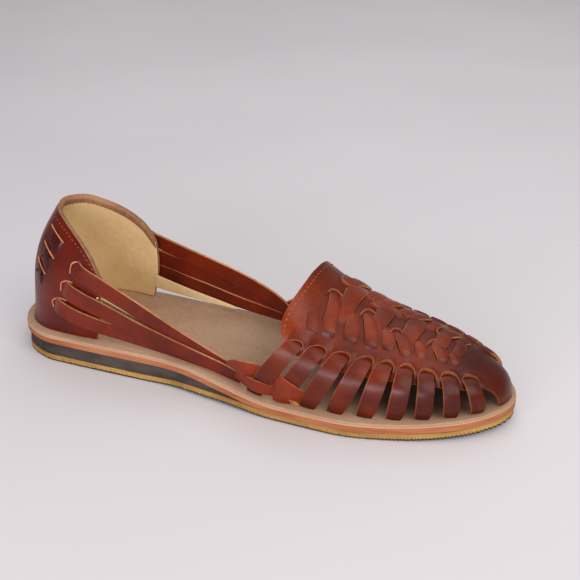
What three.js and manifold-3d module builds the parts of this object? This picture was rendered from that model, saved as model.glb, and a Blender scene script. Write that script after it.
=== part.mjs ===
// A woven leather huarache sandal, right foot: a wedge sole in four layers, a woven vamp on looped
// side straps, a tall heel counter, and three side straps a side. Sizes are in millimetres, with
// the toe along +X, the outer (lateral) side along -Y and +Z up.
import * as THREE from "three";
import { mergeVertices } from "three/addons/utils/BufferGeometryUtils.js";
import Module from "manifold-3d";

const wasm = await Module();
wasm.setup();

// Driving dimensions. X is counted from the back of the sole here.
const LENGTH = 260; // the sole, heel to toe: a European size 38
const HALF_BALL = 42; // half the sole's width at the ball
const GAP = 0.3; // between pieces that meet
const COVER = 1.2; // footbed cover
const MIDSOLE = 3.2; // leather board
const OUTSOLE = 3.4; // tread sheet at its thickest
const WEDGE_END = 0.6; // the wedge is pared away below this thickness
const VAMP_WALL = 2.0;
const COUNTER_WALL = 2.6; // leather and lining together
// leaves: over which x a strap goes from lying on the counter to its own free path.
const STRAP = { width: 9.2, thick: 1.5, clear: 0.45, leaves: [61, 84] };
const SLIT = { length: 2.4, depth: 12 }; // cut through the counter where a strap comes out
const BACKING_THICK = 1.0;
const TOE = 258.4; // the front of the vamp
const THROAT = 130; // where the vamp's sections start, behind its throat
const LOOPS = 9; // side loops on each side of the vamp

// Plan of the sole: half-widths on each side.
const SOLE_PLAN = [
  { x: 0, lateral: 0, medial: 0 },
  { x: 4, lateral: 16, medial: 16 },
  { x: 14, lateral: 27, medial: 27 },
  { x: 32, lateral: 33, medial: 32.5 },
  { x: 62, lateral: 33.2, medial: 31.8 },
  { x: 94, lateral: 33, medial: 29.8 },
  { x: 125, lateral: 37, medial: 30.6 },
  { x: 156, lateral: 41.3, medial: 36.8 },
  { x: 187, lateral: 42, medial: 42 },
  { x: 216, lateral: 36.2, medial: 40 },
  { x: 239, lateral: 26.6, medial: 30.5 },
  { x: 253, lateral: 15.5, medial: 17 },
  { x: LENGTH, lateral: 0, medial: 0 },
];

// Side view of the sole: the footbed's top and the tread's underside, which is flat on the floor
// under the heel and the ball, and lifted at the waist and the toe.
const SOLE_HEIGHTS = [
  { x: 0, top: 15.4, under: 0.6 },
  { x: 10, top: 15.3, under: 0 },
  { x: 57, top: 14.9, under: 0 },
  { x: 84, top: 14.9, under: 0 },
  { x: 109, top: 14.4, under: 0.9 },
  { x: 135, top: 11.2, under: 1.2 },
  { x: 161, top: 8.3, under: 0 },
  { x: 205, top: 8.4, under: 0 },
  { x: 235, top: 9.8, under: 1.2 },
  { x: LENGTH, top: 11.8, under: 3.2 },
];

// The last under the vamp: the ridge's height over the floor, the half-widths, how far the wall
// tucks in again at the footbed, and how square the section is (2 is an ellipse).
const LAST = [
  { x: THROAT, ridge: 85, lateral: 37.5, medial: 32.6, tuck: 1.5, square: 1.85 },
  { x: 145, ridge: 75.5, lateral: 38.4, medial: 33.4, tuck: 1.5, square: 1.85 },
  { x: 161, ridge: 65.3, lateral: 39, medial: 34.8, tuck: 1.4, square: 1.85 },
  { x: 175, ridge: 53.6, lateral: 39, medial: 36.6, tuck: 1.2, square: 1.95 },
  { x: 188, ridge: 46, lateral: 38.4, medial: 37.6, tuck: 1, square: 2 },
  { x: 201, ridge: 40.8, lateral: 36.6, medial: 37.2, tuck: 0.8, square: 2.05 },
  { x: 214, ridge: 37.2, lateral: 33.8, medial: 35.2, tuck: 0.7, square: 2.1 },
  { x: 226, ridge: 33.8, lateral: 29.8, medial: 31.4, tuck: 0.6, square: 2.1 },
  { x: 237, ridge: 30.2, lateral: 24.8, medial: 26.2, tuck: 0.5, square: 2.1 },
  { x: 247, ridge: 26, lateral: 18.4, medial: 19.4, tuck: 0.4, square: 2.1 },
  { x: 254, ridge: 21, lateral: 11.6, medial: 12.2, tuck: 0.3, square: 2.1 },
  { x: TOE, ridge: 0, lateral: 0, medial: 0, tuck: 0, square: 2.1 },
];
const LAST_CENTRE = 0.28; // the widest level, as a share of the height over the footbed
const SHOULDER = 0.8; // the share of the way from ridge to footbed that is over the widest level

// The vamp's rear edge: t goes from the ridge (0) to the footbed (1), on each side.
const THROAT_EDGE = [
  { t: 0, x: 163.5 },
  { t: 0.3, x: 164 },
  { t: 0.56, x: 162 },
  { t: 0.66, x: 162 },
  { t: 0.74, x: 157 },
  { t: 0.85, x: 149 },
  { t: 1, x: 142 },
];

// Each side loop: where its middle leaves the plate and where it meets the footbed.
const LOOP_PLACES = [
  { loop: 1, top: 169, foot: 147, wide: 8.6 },
  { loop: 3, top: 188.8, foot: 174.5, wide: 8.4 },
  { loop: 5, top: 209, foot: 200.4, wide: 8.2 },
  { loop: 7, top: 226.6, foot: 225.2, wide: 7.4 },
  { loop: 9, top: 243.4, foot: 247.4, wide: 6.6 },
  { loop: LOOPS + 1, top: 250, foot: 255.6, wide: 5 }, // the toe cap's own edge
];
const LOOP_NECK = 0.88; // a loop's width where it leaves the plate, as a share of its full width
const GAP_END = 0.6; // how wide a gap between loops is at the plate, against further down

// The plate's lower border, where the gaps between the loops start.
const PLATE_BORDER = [
  { x: THROAT, t: 0.78 },
  { x: 170, t: 0.74 },
  { x: 188, t: 0.63 },
  { x: 207, t: 0.59 },
  { x: 225, t: 0.58 },
  { x: 240, t: 0.55 },
  { x: TOE, t: 0.55 },
];

// The heel counter from its back to its front edge, one side: its foot and its collar in plan, the
// collar's height over the floor, and how far the wall bows out between them.
const COUNTER = [
  { u: 0, footX: 4.2, footY: 0, topX: 25, topY: 0, topZ: 77.2, bow: 6.2 },
  { u: 0.2, footX: 7.2, footY: 13.4, topX: 29.7, topY: 11.4, topZ: 75.8, bow: 6 },
  { u: 0.4, footX: 15.8, footY: 23.8, topX: 38.6, topY: 17.8, topZ: 71.5, bow: 4.8 },
  { u: 0.6, footX: 28.6, footY: 28.4, topX: 48.4, topY: 22.6, topZ: 65.3, bow: 3 },
  { u: 0.8, footX: 42.6, footY: 29, topX: 56.5, topY: 25.7, topZ: 57.2, bow: 1.8 },
  { u: 1, footX: 56.6, footY: 28.2, topX: 61.2, topY: 27.1, topZ: 48.5, bow: 0.8 },
];
const COUNTER_FULLEST = 1.35; // over 1 puts the fullest level of the bow above the middle
// A mirrored row before the back keeps the two halves smooth there.
const ACROSS_THE_BACK = {
  ...COUNTER[1],
  u: -COUNTER[1].u,
  footY: -COUNTER[1].footY,
  topY: -COUNTER[1].topY,
};
const COUNTER_ROUND_BACK = [ACROSS_THE_BACK, ...COUNTER];
const COUNTER_FRONT_BULGE = 1.4; // how far the front edge stands forward of a straight line

// Middle lines of the side straps, from the counter's slits to the sole. out is the distance from
// the shoe's middle plane, used once a strap has left the counter.
const STRAP_PATHS = {
  lateral: [
    [
      { x: 46, z: 53.4, out: 27, wide: 1 },
      { x: 62, z: 45.8, out: 29, wide: 1 },
      { x: 80, z: 38.2, out: 30.2, wide: 1 },
      { x: 99, z: 29.8, out: 31, wide: 0.95 },
      { x: 117, z: 22.4, out: 31.6, wide: 0.9 },
      { x: 131, z: 17.6, out: 32.6, wide: 0.85 },
      { x: 140.5, z: 15, out: 33.8, wide: 0.7 },
    ],
    [
      { x: 39.5, z: 42, out: 28, wide: 1 },
      { x: 60, z: 34, out: 29, wide: 1 },
      { x: 79, z: 28.2, out: 30, wide: 0.95 },
      { x: 98, z: 23.6, out: 30.8, wide: 0.85 },
      { x: 117, z: 19.2, out: 31.6, wide: 0.8 },
      { x: 131, z: 16.4, out: 32.6, wide: 0.75 },
      { x: 140.5, z: 14.4, out: 33.8, wide: 0.6 },
    ],
    [
      { x: 32.5, z: 31.6, out: 28, wide: 1 },
      { x: 48, z: 26.6, out: 29, wide: 0.95 },
      { x: 62, z: 23.6, out: 29.6, wide: 0.9 },
      { x: 80, z: 21.8, out: 30, wide: 0.85 },
      { x: 98, z: 19.8, out: 30.6, wide: 0.75 },
      { x: 117, z: 17.4, out: 31.6, wide: 0.65 },
      { x: 131, z: 15.6, out: 32.6, wide: 0.6 },
      { x: 140.5, z: 14.1, out: 33.8, wide: 0.5 },
    ],
  ],
  medial: [
    [
      { x: 46, z: 53.8, out: 27, wide: 1 },
      { x: 62, z: 47, out: 28, wide: 1 },
      { x: 86, z: 40.6, out: 28, wide: 1 },
      { x: 112, z: 33, out: 28, wide: 0.95 },
      { x: 130, z: 25, out: 28.2, wide: 0.85 },
      { x: 140.5, z: 16, out: 28.8, wide: 0.7 },
    ],
    [
      { x: 39.5, z: 42.6, out: 28, wide: 1 },
      { x: 61, z: 37.6, out: 28, wide: 1 },
      { x: 85, z: 32, out: 28, wide: 1 },
      { x: 111, z: 24.6, out: 28, wide: 0.9 },
      { x: 130, z: 18.6, out: 28.2, wide: 0.8 },
      { x: 140.5, z: 14.8, out: 28.8, wide: 0.6 },
    ],
    [
      { x: 32.5, z: 32, out: 28, wide: 1 },
      { x: 61, z: 28.8, out: 28, wide: 0.95 },
      { x: 85, z: 25, out: 28, wide: 0.85 },
      { x: 108, z: 20, out: 28, wide: 0.75 },
      { x: 130, z: 16.2, out: 28.2, wide: 0.6 },
      { x: 140.5, z: 14.2, out: 28.8, wide: 0.5 },
    ],
  ],
};

// The pale strips behind the straps: upper and lower edge, and distance from the middle plane.
const BACKING_PATHS = {
  lateral: [
    { x: 64, low: 29, high: 42, out: 25.6 },
    { x: 78, low: 26, high: 36, out: 26.8 },
    { x: 92, low: 23, high: 29, out: 27.6 },
    { x: 103, low: 21.5, high: 24, out: 28 },
  ],
  medial: [
    { x: 64, low: 19.4, high: 28, out: 25.2 },
    { x: 78, low: 18.8, high: 26, out: 25.2 },
    { x: 92, low: 17.8, high: 23.4, out: 25.2 },
    { x: 103, low: 16.8, high: 20.6, out: 25.4 },
  ],
};

const SIDES = [["lateral", -1], ["medial", 1]];

const COLOURS = {
  leather: 0x803020,
  lining: 0xbea06e,
  footbed: 0xa58c73,
  board: 0xbe6e46,
  foam: 0x413c3a,
  tread: 0xaf823c,
};

// One column of a table as a smooth curve that doesn't overshoot its rows.
function column(table, key, value, at) {
  const last = table.length - 1;
  const place = Math.min(Math.max(at, table[0][key]), table[last][key]);
  let i = 0;
  while (i < last - 1 && table[i + 1][key] < place) i += 1;
  const rise = (k) =>
    (table[k + 1][value] - table[k][value]) / (table[k + 1][key] - table[k][key]);
  const slope = (k) => {
    if (k === 0) return rise(0);
    if (k === last) return rise(last - 1);
    const [before, after] = [rise(k - 1), rise(k)];
    return before * after <= 0 ? 0 : (2 * before * after) / (before + after);
  };
  const [a, b] = [table[i], table[i + 1]];
  const span = b[key] - a[key];
  const f = (place - a[key]) / span;
  return (
    a[value] * (1 + 2 * f) * (1 - f) ** 2 +
    slope(i) * span * f * (1 - f) ** 2 +
    b[value] * f * f * (3 - 2 * f) +
    slope(i + 1) * span * f * f * (f - 1)
  );
}

// The sole's plan is read against an angle, which rounds its two ends.
const planAngle = (x) => Math.acos(1 - (2 * x) / LENGTH);
const SOLE_PLAN_BY_ANGLE = SOLE_PLAN.map((row) => ({ ...row, angle: planAngle(row.x) }));
const soleHalf = (side, x) => column(SOLE_PLAN_BY_ANGLE, "angle", side, planAngle(x));
const footbedTop = (x) => column(SOLE_HEIGHTS, "x", "top", x);
const underside = (x) => column(SOLE_HEIGHTS, "x", "under", x);
const midsoleUnder = (x) => footbedTop(x) - COVER - GAP - MIDSOLE;
const outsoleTop = (x) => Math.min(underside(x) + OUTSOLE, midsoleUnder(x) - GAP);

// The last is read against the square root of the distance to the toe, which rounds the toe.
const toeRoot = (x) => Math.sqrt(Math.max(TOE - x, 0) / (TOE - THROAT));
const LAST_BY_ROOT = LAST.map((row) => ({
  ...row,
  root: toeRoot(row.x),
  rise: row.x === TOE ? 0 : row.ridge - footbedTop(row.x),
})).reverse();
const lastAt = (value, x) => column(LAST_BY_ROOT, "root", value, toeRoot(x));

// A point of the vamp's outer face. t is -1 at the lateral foot, 0 on the ridge, 1 at the medial.
function lastPoint(x, t) {
  const side = t < 0 ? -1 : 1;
  const half = lastAt(t < 0 ? "lateral" : "medial", x);
  const floor = footbedTop(x) + GAP;
  const rise = lastAt("rise", x);
  const centre = LAST_CENTRE * rise;
  const share = Math.abs(t);
  if (share <= SHOULDER) {
    const angle = (share / SHOULDER) * (Math.PI / 2);
    const power = 2 / lastAt("square", x);
    return new THREE.Vector3(
      x,
      side * half * Math.sin(angle) ** power,
      floor + centre + (rise - centre) * Math.max(Math.cos(angle), 0) ** power,
    );
  }
  const down = (share - SHOULDER) / (1 - SHOULDER);
  const tuck = lastAt("tuck", x) * (1 - Math.cos((down * Math.PI) / 2));
  return new THREE.Vector3(x, side * (half - tuck), floor + centre * (1 - down));
}

// The outward direction of a surface given by a function of two parameters.
function outward(surface, a, b, step, inside) {
  const alongA = surface(a + step, b).sub(surface(a - step, b));
  const alongB = surface(a, b + step).sub(surface(a, b - step));
  const normal = alongA.cross(alongB).normalize();
  const away = surface(a, b).sub(inside);
  return normal.dot(away) < 0 ? normal.negate() : normal;
}

function vampNormal(x, t) {
  const inner = Math.min(x, TOE - 0.6);
  const base = footbedTop(inner) + GAP;
  const middle = new THREE.Vector3(Math.min(inner, TOE - 20), 0, base + 1);
  const reach = Math.min(Math.max(t, -0.995), 0.995);
  return outward(lastPoint, inner, reach, 0.004, middle);
}

// A counter point: u is -1 at the lateral front edge, 0 at the back, 1 at the medial front edge,
// and v goes from the footbed to the collar.
function counterPoint(u, v) {
  const side = u < 0 ? -1 : 1;
  const at = (value) => column(COUNTER_ROUND_BACK, "u", value, Math.abs(u));
  const foot = new THREE.Vector2(at("footX"), at("footY"));
  const top = new THREE.Vector2(at("topX"), at("topY"));
  const spot = foot.clone().lerp(top, v);
  const away = new THREE.Vector2(spot.x - 46, spot.y * 1.6).normalize();
  spot.addScaledVector(away, at("bow") * Math.sin(Math.PI * v ** COUNTER_FULLEST));
  spot.x += COUNTER_FRONT_BULGE * Math.sin(Math.PI * v) * Math.abs(u) ** 6;
  const base = footbedTop(foot.x) + GAP;
  return new THREE.Vector3(spot.x, side * Math.max(spot.y, 0), base + (at("topZ") - base) * v);
}

function counterNormal(u, v) {
  const reach = Math.min(Math.max(v, 0.01), 0.99);
  const across = Math.min(Math.max(u, -0.995), 0.995);
  return outward(counterPoint, across, reach, 0.004, new THREE.Vector3(60, 0, 40));
}

// Where a place seen from the side, at x and z, lies on one half of the counter.
function counterPlace(x, z, side) {
  const heightShare = (u) => {
    const [foot, top] = [counterPoint(u, 0).z, counterPoint(u, 1).z];
    return THREE.MathUtils.clamp((z - foot) / (top - foot), 0, 1);
  };
  let [rear, front] = [0.1, 1];
  for (let halving = 0; halving < 16; halving += 1) {
    const u = (rear + front) / 2;
    if (counterPoint(u, heightShare(u)).x < x) rear = u;
    else front = u;
  }
  return { u: side * rear, v: heightShare(rear) };
}

// Triangles to a closed, merged geometry.
function geometryFrom(triangles) {
  const flat = new Float32Array(triangles.flatMap((p) => [p.x, p.y, p.z]));
  const loose = new THREE.BufferGeometry();
  loose.setAttribute("position", new THREE.BufferAttribute(flat, 3));
  const merged = mergeVertices(loose, 1e-4);
  const index = [];
  const corners = merged.index.array;
  for (let i = 0; i < corners.length; i += 3) {
    const [a, b, c] = [corners[i], corners[i + 1], corners[i + 2]];
    if (a !== b && b !== c && c !== a) index.push(a, b, c);
  }
  merged.setIndex(index);
  return merged;
}

const quad = (out, a, b, c, d) => out.push(a, b, c, a, c, d);

// A closed wall between two grids of points of the same shape, its outer face counter-clockwise.
function wall(outer, inner) {
  const out = [];
  const rows = outer.length - 1;
  const cols = outer[0].length - 1;
  for (let i = 0; i < rows; i += 1) {
    for (let j = 0; j < cols; j += 1) {
      quad(out, outer[i][j], outer[i + 1][j], outer[i + 1][j + 1], outer[i][j + 1]);
      quad(out, inner[i][j], inner[i][j + 1], inner[i + 1][j + 1], inner[i + 1][j]);
    }
    quad(out, outer[i + 1][0], outer[i][0], inner[i][0], inner[i + 1][0]);
    quad(out, outer[i][cols], outer[i + 1][cols], inner[i + 1][cols], inner[i][cols]);
  }
  for (let j = 0; j < cols; j += 1) {
    quad(out, outer[0][j], outer[0][j + 1], inner[0][j + 1], inner[0][j]);
    quad(out, outer[rows][j + 1], outer[rows][j], inner[rows][j], inner[rows][j + 1]);
  }
  return geometryFrom(out);
}

function toSolid(geometry) {
  const solid = new wasm.Manifold(
    new wasm.Mesh({
      numProp: 3,
      vertProperties: geometry.attributes.position.array,
      triVerts: new Uint32Array(geometry.index.array),
    }),
  );
  if (solid.volume() < 0) throw new Error("a wall faces inwards");
  return solid;
}

function toGeometry(solid) {
  const mesh = solid.getMesh();
  const geometry = new THREE.BufferGeometry();
  geometry.setAttribute("position", new THREE.BufferAttribute(mesh.vertProperties, 3));
  geometry.setIndex(new THREE.BufferAttribute(mesh.triVerts, 1));
  return geometry;
}

// One layer of the sole between two height functions. inset pulls its edge in from the plan.
function soleLayer(bottom, top, { insetBottom = 0, insetTop = 0, end = LENGTH, steps = 44 }) {
  const lastAngle = planAngle(end);
  const ring = (height, inset) => {
    const points = [];
    for (let i = 0; i <= steps; i += 1) {
      const x = (LENGTH / 2) * (1 - Math.cos((lastAngle * i) / steps));
      const place = inset + x * (1 - (2 * inset) / LENGTH);
      const pull = 1 - inset / HALF_BALL;
      points.push([
        new THREE.Vector3(place, -soleHalf("lateral", x) * pull, height(place)),
        new THREE.Vector3(place, soleHalf("medial", x) * pull, height(place)),
      ]);
    }
    return points;
  };
  return wall(ring(top, insetTop), ring(bottom, insetBottom));
}

function wedgeEnd() {
  let x = LENGTH / 3;
  while (midsoleUnder(x) - GAP - outsoleTop(x) - GAP > WEDGE_END) x += 0.5;
  return x;
}

// The vamp before it is cut: a grid from the throat edge to the toe.
function vampWall() {
  const rows = 26;
  const cols = 28;
  const outer = [];
  const inner = [];
  for (let i = 0; i <= rows; i += 1) {
    outer.push([]);
    inner.push([]);
    for (let j = 0; j <= cols; j += 1) {
      const t = (2 * j) / cols - 1;
      const rear = toeRoot(column(THROAT_EDGE, "t", "x", Math.abs(t)));
      const root = rear * (1 - i / rows);
      const x = TOE - (TOE - THROAT) * root * root;
      const p = lastPoint(x, t);
      const q = p.clone().addScaledVector(vampNormal(x, t), -VAMP_WALL);
      if (j === 0 || j === cols || i === rows) {
        q.z = footbedTop(q.x) + GAP;
      }
      outer[i].push(p);
      inner[i].push(q);
    }
  }
  for (let j = 0; j <= cols; j += 1) {
    outer[rows][j] = new THREE.Vector3(TOE, 0, footbedTop(TOE) + GAP);
    inner[rows][j] = new THREE.Vector3(TOE - VAMP_WALL, 0, footbedTop(TOE - VAMP_WALL) + GAP);
  }
  return toSolid(wall(outer, inner));
}

// The gap between two neighbouring loops, as a curved cutter that follows the last.
function loopGap(index, side) {
  const reach = 6; // past both faces of the wall
  const rungs = 6;
  const low = [];
  const high = [];
  for (let k = 0; k <= rungs; k += 1) {
    const f = k / rungs;
    const edge = (loop, hand) => {
      const [top, foot, wide] = ["top", "foot", "wide"].map((value) =>
        column(LOOP_PLACES, "loop", value, loop),
      );
      return top + (foot - top) * f + (hand * wide * (LOOP_NECK + (1 - LOOP_NECK) * f)) / 2;
    };
    const rear = edge(index, 1);
    const front = edge(index + 1, -1);
    const middle = (rear + front) / 2;
    const half = ((front - rear) / 2) * Math.min(1, GAP_END + 2 * f);
    const border = column(PLATE_BORDER, "x", "t", middle);
    const t = side * (border + (1.06 - border) * f);
    [low[k], high[k]] = [[], []];
    for (const x of [middle - half, middle, middle + half]) {
      const p = lastPoint(Math.min(x, TOE - 1), Math.max(Math.min(t, 1), -1));
      const n = vampNormal(Math.min(x, TOE - 1), t);
      p.z -= Math.max(Math.abs(t) - 1, 0) * 60;
      low[k].push(p.clone().addScaledVector(n, -reach));
      high[k].push(p.clone().addScaledVector(n, reach));
    }
  }
  return toSolid(side < 0 ? wall(high, low) : wall(low, high));
}

function vamp() {
  let solid = vampWall();
  for (const side of [-1, 1]) {
    for (let index = 1; index <= LOOPS; index += 1) {
      solid = solid.subtract(loopGap(index, side));
    }
  }
  return toGeometry(solid);
}

function heelCounter() {
  const rows = 10;
  const cols = 36;
  const outer = [];
  const inner = [];
  for (let i = 0; i <= rows; i += 1) {
    outer.push([]);
    inner.push([]);
    for (let j = 0; j <= cols; j += 1) {
      const u = (2 * j) / cols - 1;
      const v = i / rows;
      const p = counterPoint(u, v);
      const q = p.clone().addScaledVector(counterNormal(u, v), -COUNTER_WALL);
      if (i === 0) q.z = footbedTop(q.x) + GAP;
      outer[i].push(p);
      inner[i].push(q);
    }
  }
  let solid = toSolid(wall(outer, inner));
  for (const [name, side] of SIDES) {
    for (const rows of STRAP_PATHS[name]) {
      solid = solid.subtract(strapSlit(strapSections(rows, side)));
    }
  }
  return toGeometry(solid);
}

// The slit that a strap comes out of, as a cutter through the counter at the strap's rear end.
function strapSlit(sections) {
  const [end, next] = sections;
  const along = next.centre.clone().sub(end.centre).normalize();
  return toSolid(
    ribbon(
      [0, SLIT.length].map((reach) => ({
        centre: end.centre.clone().addScaledVector(along, reach),
        across: end.across,
        face: end.face,
        wide: STRAP.width,
        thick: SLIT.depth,
      })),
    ),
  );
}

// A flat strip along a path: each section is a rectangle of four corners.
function ribbon(sections) {
  const out = [];
  const ring = ({ centre, across, face, wide, thick }) => {
    const w = across.clone().multiplyScalar(wide / 2);
    const n = face.clone().multiplyScalar(thick / 2);
    return [
      centre.clone().add(w).add(n),
      centre.clone().add(w).sub(n),
      centre.clone().sub(w).sub(n),
      centre.clone().sub(w).add(n),
    ];
  };
  const rings = sections.map(ring);
  for (let i = 0; i < rings.length - 1; i += 1) {
    for (let k = 0; k < 4; k += 1) {
      const next = (k + 1) % 4;
      quad(out, rings[i][k], rings[i + 1][k], rings[i + 1][next], rings[i][next]);
    }
  }
  const [first, end] = [rings[0], rings[rings.length - 1]];
  quad(out, first[0], first[1], first[2], first[3]);
  quad(out, end[3], end[2], end[1], end[0]);
  return geometryFrom(out);
}

function strapSections(rows, side) {
  const steps = 22;
  const [from, to] = [rows[0].x, rows[rows.length - 1].x];
  const sideways = new THREE.Vector3(0, side, 0);
  const poseAt = (x) => {
    const z = column(rows, "x", "z", x);
    const { u, v } = counterPlace(x, z, side);
    const face = counterNormal(u, v);
    const lift = (STRAP.clear + STRAP.thick / 2) / face.y;
    const on = new THREE.Vector3(x, counterPoint(u, v).y + lift, z);
    const free = new THREE.Vector3(x, side * column(rows, "x", "out", x), z);
    const blend = THREE.MathUtils.smoothstep(x, ...STRAP.leaves);
    return { centre: on.lerp(free, blend), face: face.lerp(sideways, blend).normalize() };
  };
  const sections = [];
  for (let i = 0; i <= steps; i += 1) {
    const x = from + ((to - from) * i) / steps;
    const { centre, face } = poseAt(x);
    const along = poseAt(x + 0.5).centre.sub(poseAt(x - 0.5).centre).normalize();
    face.addScaledVector(along, -along.dot(face)).normalize();
    sections.push({
      centre,
      across: face.clone().cross(along),
      face,
      wide: STRAP.width * column(rows, "x", "wide", x),
      thick: STRAP.thick,
    });
  }
  return sections;
}

function straps(name, side) {
  const solids = STRAP_PATHS[name].map((rows) => {
    const geometry = ribbon(strapSections(rows, side));
    return toSolid(geometry);
  });
  return toGeometry(solids.reduce((joined, solid) => joined.add(solid)));
}

function backing(name, side) {
  const rows = BACKING_PATHS[name];
  const steps = 10;
  const sections = [];
  for (let i = 0; i <= steps; i += 1) {
    const x = rows[0].x + ((rows[rows.length - 1].x - rows[0].x) * i) / steps;
    const [low, high, out] = ["low", "high", "out"].map((value) => column(rows, "x", value, x));
    sections.push({
      centre: new THREE.Vector3(x, side * out, (low + high) / 2),
      across: new THREE.Vector3(0, 0, -side),
      face: new THREE.Vector3(0, side, 0),
      wide: high - low,
      thick: BACKING_THICK,
    });
  }
  return ribbon(sections);
}

function leatherMesh(name, geometry, colour, roughness = 0.5) {
  geometry.computeVertexNormals();
  const material = new THREE.MeshStandardMaterial({ color: colour, roughness, metalness: 0 });
  const mesh = new THREE.Mesh(geometry, material);
  mesh.name = name;
  return mesh;
}

const shoe = new THREE.Group();
shoe.add(
  leatherMesh(
    "outsole",
    soleLayer(underside, outsoleTop, { insetBottom: 1.6, insetTop: 0.8 }),
    COLOURS.tread,
    0.8,
  ),
  leatherMesh(
    "wedge",
    soleLayer((x) => outsoleTop(x) + GAP, (x) => midsoleUnder(x) - GAP, {
      insetBottom: 0.8,
      insetTop: 0.5,
      end: wedgeEnd(),
      steps: 30,
    }),
    COLOURS.foam,
    0.9,
  ),
  leatherMesh(
    "midsole",
    soleLayer(midsoleUnder, (x) => footbedTop(x) - COVER - GAP, {}),
    COLOURS.board,
  ),
  leatherMesh(
    "footbed",
    soleLayer((x) => footbedTop(x) - COVER, footbedTop, {}),
    COLOURS.footbed,
    0.7,
  ),
  leatherMesh("vamp", vamp(), COLOURS.leather),
  leatherMesh("heel_counter", heelCounter(), COLOURS.leather),
);
for (const [name, side] of SIDES) {
  shoe.add(leatherMesh(`straps_${name}`, straps(name, side), COLOURS.leather));
  shoe.add(leatherMesh(`backing_${name}`, backing(name, side), COLOURS.lining, 0.8));
}
shoe.position.x = -LENGTH / 2; // the origin is on the floor under the middle of the sole's length

export default shoe;
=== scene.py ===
"""A woven leather huarache sandal, right foot, on a pale studio floor.

Lengths are in millimetres, x counted from the back of the sole, the toe along +X and the outer
(lateral) side along -Y. A finished piece is put into the frame's metres.
"""

import math

import bmesh
import bpy
from mathutils import Matrix, Quaternion, Vector


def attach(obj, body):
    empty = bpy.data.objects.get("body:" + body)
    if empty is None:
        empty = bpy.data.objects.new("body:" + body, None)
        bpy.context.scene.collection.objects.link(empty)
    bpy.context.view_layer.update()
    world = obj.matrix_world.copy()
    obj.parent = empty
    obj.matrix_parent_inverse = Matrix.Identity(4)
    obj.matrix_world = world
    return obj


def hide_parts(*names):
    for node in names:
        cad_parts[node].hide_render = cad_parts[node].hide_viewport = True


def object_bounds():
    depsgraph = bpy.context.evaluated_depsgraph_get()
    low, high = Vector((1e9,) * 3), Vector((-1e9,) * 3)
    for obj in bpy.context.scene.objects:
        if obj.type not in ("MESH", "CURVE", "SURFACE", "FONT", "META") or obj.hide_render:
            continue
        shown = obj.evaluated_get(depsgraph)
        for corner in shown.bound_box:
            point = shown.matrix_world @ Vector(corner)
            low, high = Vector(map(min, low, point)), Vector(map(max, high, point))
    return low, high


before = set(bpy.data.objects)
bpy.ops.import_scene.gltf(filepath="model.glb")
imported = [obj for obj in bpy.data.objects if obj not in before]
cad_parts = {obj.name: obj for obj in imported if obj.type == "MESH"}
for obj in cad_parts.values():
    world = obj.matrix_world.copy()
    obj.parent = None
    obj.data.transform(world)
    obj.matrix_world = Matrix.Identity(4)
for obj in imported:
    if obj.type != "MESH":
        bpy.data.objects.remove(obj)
cad_low, cad_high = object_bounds()
INTO_FRAME = Matrix.Translation((cad_low.x, 0, 0)) @ Matrix.Scale(0.001, 4)

SIDES = (("lateral", -1), ("medial", 1))


# ---------------------------------------------------------------- smooth tables


class Table:
    """Named columns over a key, each read as a curve that does not overshoot its rows."""

    def __init__(self, names, rows):
        self.keys = [row[0] for row in rows]
        self.columns = {name: [row[i + 1] for row in rows] for i, name in enumerate(names)}
        self.slopes = {name: self.slopes_of(values) for name, values in self.columns.items()}

    def slopes_of(self, values):
        last = len(values) - 1
        rises = [
            (values[i + 1] - values[i]) / (self.keys[i + 1] - self.keys[i]) for i in range(last)
        ]
        inner = [
            0 if before * after <= 0 else 2 * before * after / (before + after)
            for before, after in zip(rises, rises[1:])
        ]
        return [rises[0], *inner, rises[-1]]

    def __call__(self, name, at):
        keys = self.keys
        at = min(max(at, keys[0]), keys[-1])
        i = 0
        while i < len(keys) - 2 and keys[i + 1] < at:
            i += 1
        span = keys[i + 1] - keys[i]
        f = (at - keys[i]) / span
        values, slopes = self.columns[name], self.slopes[name]
        return (
            values[i] * (1 + 2 * f) * (1 - f) ** 2
            + slopes[i] * span * f * (1 - f) ** 2
            + values[i + 1] * f * f * (3 - 2 * f)
            + slopes[i + 1] * span * f * f * (f - 1)
        )


def smoothstep(low, high, value):
    f = min(max((value - low) / (high - low), 0), 1)
    return f * f * (3 - 2 * f)


# ---------------------------------------------------------------- the sole's sizes

LENGTH = 260
GAP = 0.3
COVER = 1.2
BOARD = 3.2
TREAD = 3.4
WEDGE_END = 141
TOE = 258.4
BALL_HALF = 42

SOLE_PLAN = (
    (0, 0, 0),
    (4, 16, 16),
    (14, 27, 27),
    (32, 33, 32.5),
    (62, 33.2, 31.8),
    (94, 33, 29.8),
    (125, 37, 30.6),
    (156, 41.3, 36.8),
    (187, 42, 42),
    (216, 36.2, 40),
    (239, 26.6, 30.5),
    (253, 15.5, 17),
    (LENGTH, 0, 0),
)
heights = Table(
    ("top", "under"),
    (
        (0, 15.4, 0.6),
        (10, 15.3, 0),
        (57, 14.9, 0),
        (84, 14.9, 0),
        (109, 14.4, 0.9),
        (135, 11.2, 1.2),
        (161, 8.3, 0),
        (205, 8.4, 0),
        (235, 9.8, 1.2),
        (LENGTH, 11.8, 3.2),
    ),
)


def plan_angle(x):
    return math.acos(1 - 2 * x / LENGTH)


plan = Table(
    ("lateral", "medial"), [(plan_angle(x), lateral, medial) for x, lateral, medial in SOLE_PLAN]
)


def footbed_top(x):
    return heights("top", x)


def board_under(x):
    return footbed_top(x) - COVER - GAP - BOARD


def tread_top(x):
    return min(heights("under", x) + TREAD, board_under(x) - GAP)


# ---------------------------------------------------------------- the last under the vamp

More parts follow.
